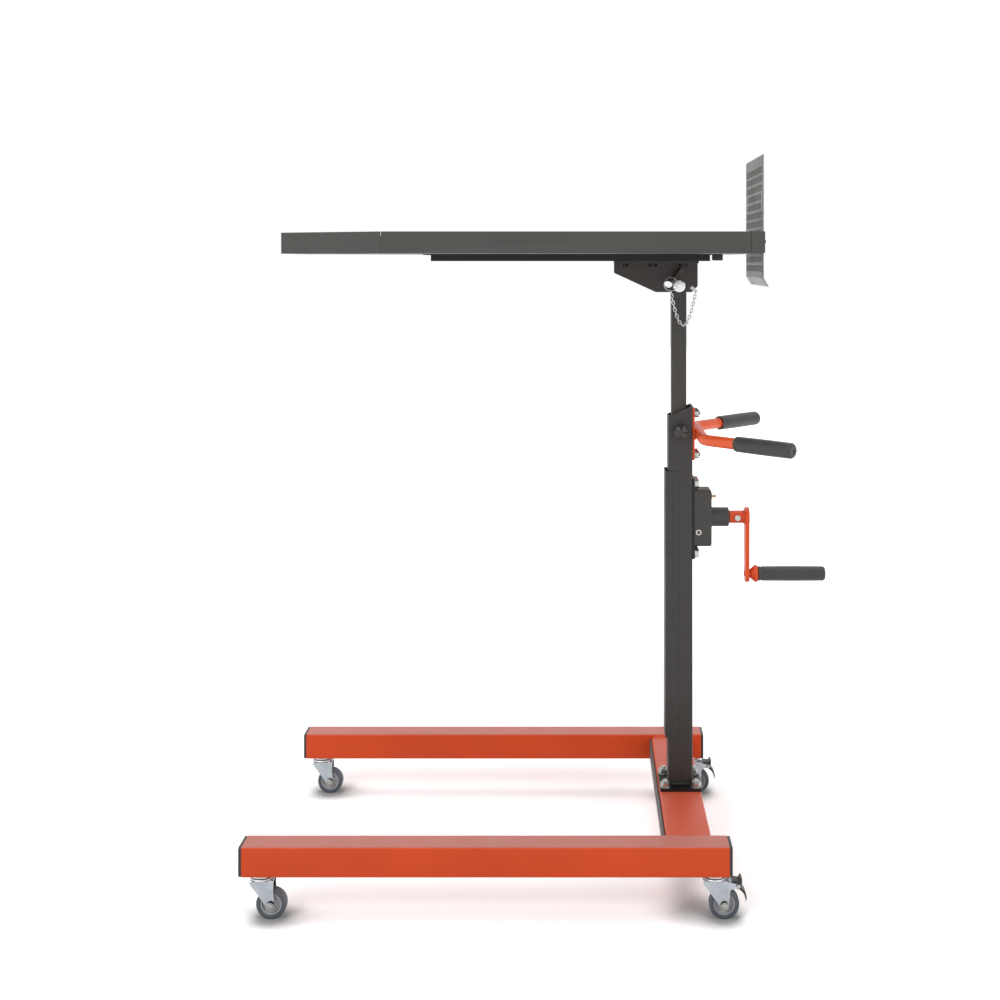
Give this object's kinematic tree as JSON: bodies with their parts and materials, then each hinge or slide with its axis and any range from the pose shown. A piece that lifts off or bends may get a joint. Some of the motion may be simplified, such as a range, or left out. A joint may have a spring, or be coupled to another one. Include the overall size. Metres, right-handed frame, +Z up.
{
  "type": "rolling work table",
  "caption": "Height-adjustable rolling work table: tapered tray on a crank-raised mast, tilting head, slotted tool panel and U-shaped base on casters.",
  "frame": {"origin": "on the floor, at the centre of the bounding box's bottom face", "axes": "+Z up; +X from the tray's tapered end to the crank's side, along the base rails; +Y away from the side with the clamp knob and lock pin"},
  "size_m": [1.013, 0.571, 1.2745],
  "materials": {
    "orange_paint": "semi-gloss powder coat",
    "charcoal_paint": "matt powder coat",
    "black_paint": "satin black",
    "black_plastic": "moulded, fine grain",
    "rubber": "matt rubber",
    "zinc": "bright zinc plate",
    "steel": "bare steel, oiled",
    "brass": "turned brass",
    "hub_plastic": "moulded light grey",
    "tyre": "blue-grey elastic tread"
  },
  "bodies": {
    "base": {"near_rail": "orange_paint", "far_rail": "orange_paint", "cross_beam": "orange_paint", "kick_strip": "rubber", "rail_end_caps": "black_plastic", "foot_plate": "black_paint", "mast_post": "charcoal_paint", "mast_cover": "charcoal_paint", "foot_bolts": "zinc", "top_bush": "black_plastic", "gearbox_plate": "black_paint", "gearbox_housing": "charcoal_paint", "gearbox_bolts": "zinc", "grease_nipple": "brass", "shaft_boss": "charcoal_paint", "gear_axle": "steel", "knob_boss": "charcoal_paint", "handle_plate": "orange_paint", "handlebar": "orange_paint", "handle_grips": "rubber", "handle_bolts": "zinc", "caster_mounts": "zinc"},
    "crank": {"crank_shaft": "steel", "worm": "steel", "crank_arm": "orange_paint", "hub_bolt": "zinc", "grip_spindle": "orange_paint"},
    "crank_handle": {"crank_grip": "rubber"},
    "gear": {"rack_gear": "steel"},
    "knob": {"clamp_knob": "black_plastic"},
    "lift": {"inner_tube": "charcoal_paint", "lift_rack": "steel", "foot_bush": "black_plastic"},
    "table": {"tray_pan": "charcoal_paint", "tray_end_wall": "charcoal_paint", "tray_pan_support": "black_paint", "near_ear": "charcoal_paint", "far_ear": "charcoal_paint", "ear_bolts": "black_paint", "pivot_bolt": "zinc", "rest_buffer": "black_plastic", "slotted_panel": "black_paint", "panel_spacers": "black_paint", "safety_chain": "zinc"},
    "lock": {"lock_pin": "black_paint", "pin_ring": "zinc"},
    "caster_left_near": {"fork_left_near": "zinc"},
    "roller_left_near": {"wheel_left_near": "hub_plastic", "tyre_left_near": "tyre"},
    "caster_left_far": {"fork_left_far": "zinc"},
    "roller_left_far": {"wheel_left_far": "hub_plastic", "tyre_left_far": "tyre"},
    "caster_right_near": {"fork_right_near": "zinc"},
    "roller_right_near": {"wheel_right_near": "hub_plastic", "tyre_right_near": "tyre"},
    "caster_right_far": {"fork_right_far": "zinc"},
    "roller_right_far": {"wheel_right_far": "hub_plastic", "tyre_right_far": "tyre"},
    "brake_near": {"pedal_near": "black_plastic"},
    "brake_far": {"pedal_far": "black_plastic"}
  },
  "joints": [
    {"name": "crank_turn", "type": "hinge", "parent": "base", "child": "crank", "pos_m": [0.3375, 0, 0.613], "axis": [-1, 0, 0], "range_deg": [-7161, 9740]},
    {"name": "lift_slide", "type": "slide", "parent": "base", "child": "lift", "axis": [0, 0, 1], "range_m": [-0.125, 0.17]},
    {"name": "gear_turn", "type": "hinge", "parent": "base", "child": "gear", "pos_m": [0.2709, 0, 0.5885], "axis": [0, 1, 0], "range_deg": [-448, 609]},
    {"name": "crank_grip_spin", "type": "hinge", "parent": "crank", "child": "crank_handle", "pos_m": [0.4375, 0, 0.508], "axis": [1, 0, 0], "continuous": true},
    {"name": "knob_turn", "type": "hinge", "parent": "base", "child": "knob", "pos_m": [0.2375, -0.035, 0.774], "axis": [0, -1, 0], "range_deg": [0, 360]},
    {"name": "table_tilt", "type": "hinge", "parent": "lift", "child": "table", "pos_m": [0.2355, 0, 1.04], "axis": [0, -1, 0], "range_deg": [0, 90]},
    {"name": "lock_pin_slide", "type": "slide", "parent": "table", "child": "lock", "axis": [0, -1, 0], "range_m": [0, 0.048]},
    {"name": "swivel_left_near", "type": "hinge", "parent": "base", "child": "caster_left_near", "pos_m": [-0.4725, -0.2605, 0.07], "axis": [0, 0, 1], "continuous": true},
    {"name": "roll_left_near", "type": "hinge", "parent": "caster_left_near", "child": "roller_left_near", "pos_m": [-0.4565, -0.2605, 0.025], "axis": [0, 1, 0], "continuous": true},
    {"name": "swivel_left_far", "type": "hinge", "parent": "base", "child": "caster_left_far", "pos_m": [-0.4725, 0.2605, 0.07], "axis": [0, 0, 1], "continuous": true},
    {"name": "roll_left_far", "type": "hinge", "parent": "caster_left_far", "child": "roller_left_far", "pos_m": [-0.4565, 0.2605, 0.025], "axis": [0, 1, 0], "continuous": true},
    {"name": "swivel_right_near", "type": "hinge", "parent": "base", "child": "caster_right_near", "pos_m": [0.2755, -0.2605, 0.07], "axis": [0, 0, 1], "continuous": true},
    {"name": "roll_right_near", "type": "hinge", "parent": "caster_right_near", "child": "roller_right_near", "pos_m": [0.2915, -0.2605, 0.025], "axis": [0, 1, 0], "continuous": true},
    {"name": "swivel_right_far", "type": "hinge", "parent": "base", "child": "caster_right_far", "pos_m": [0.2755, 0.2605, 0.07], "axis": [0, 0, 1], "continuous": true},
    {"name": "roll_right_far", "type": "hinge", "parent": "caster_right_far", "child": "roller_right_far", "pos_m": [0.2915, 0.2605, 0.025], "axis": [0, 1, 0], "continuous": true},
    {"name": "brake_near_press", "type": "hinge", "parent": "caster_right_near", "child": "brake_near", "pos_m": [0.3135, -0.2605, 0.0565], "axis": [0, 1, 0], "range_deg": [0, 16]},
    {"name": "brake_far_press", "type": "hinge", "parent": "caster_right_far", "child": "brake_far", "pos_m": [0.3135, 0.2605, 0.0565], "axis": [0, 1, 0], "range_deg": [0, 16]}
  ],
  "couplings": [
    {"joint": "lift_slide", "follows": "crank_turn", "m_per_rad": 0.001},
    {"joint": "gear_turn", "follows": "crank_turn", "ratio": 0.0625}
  ]
}
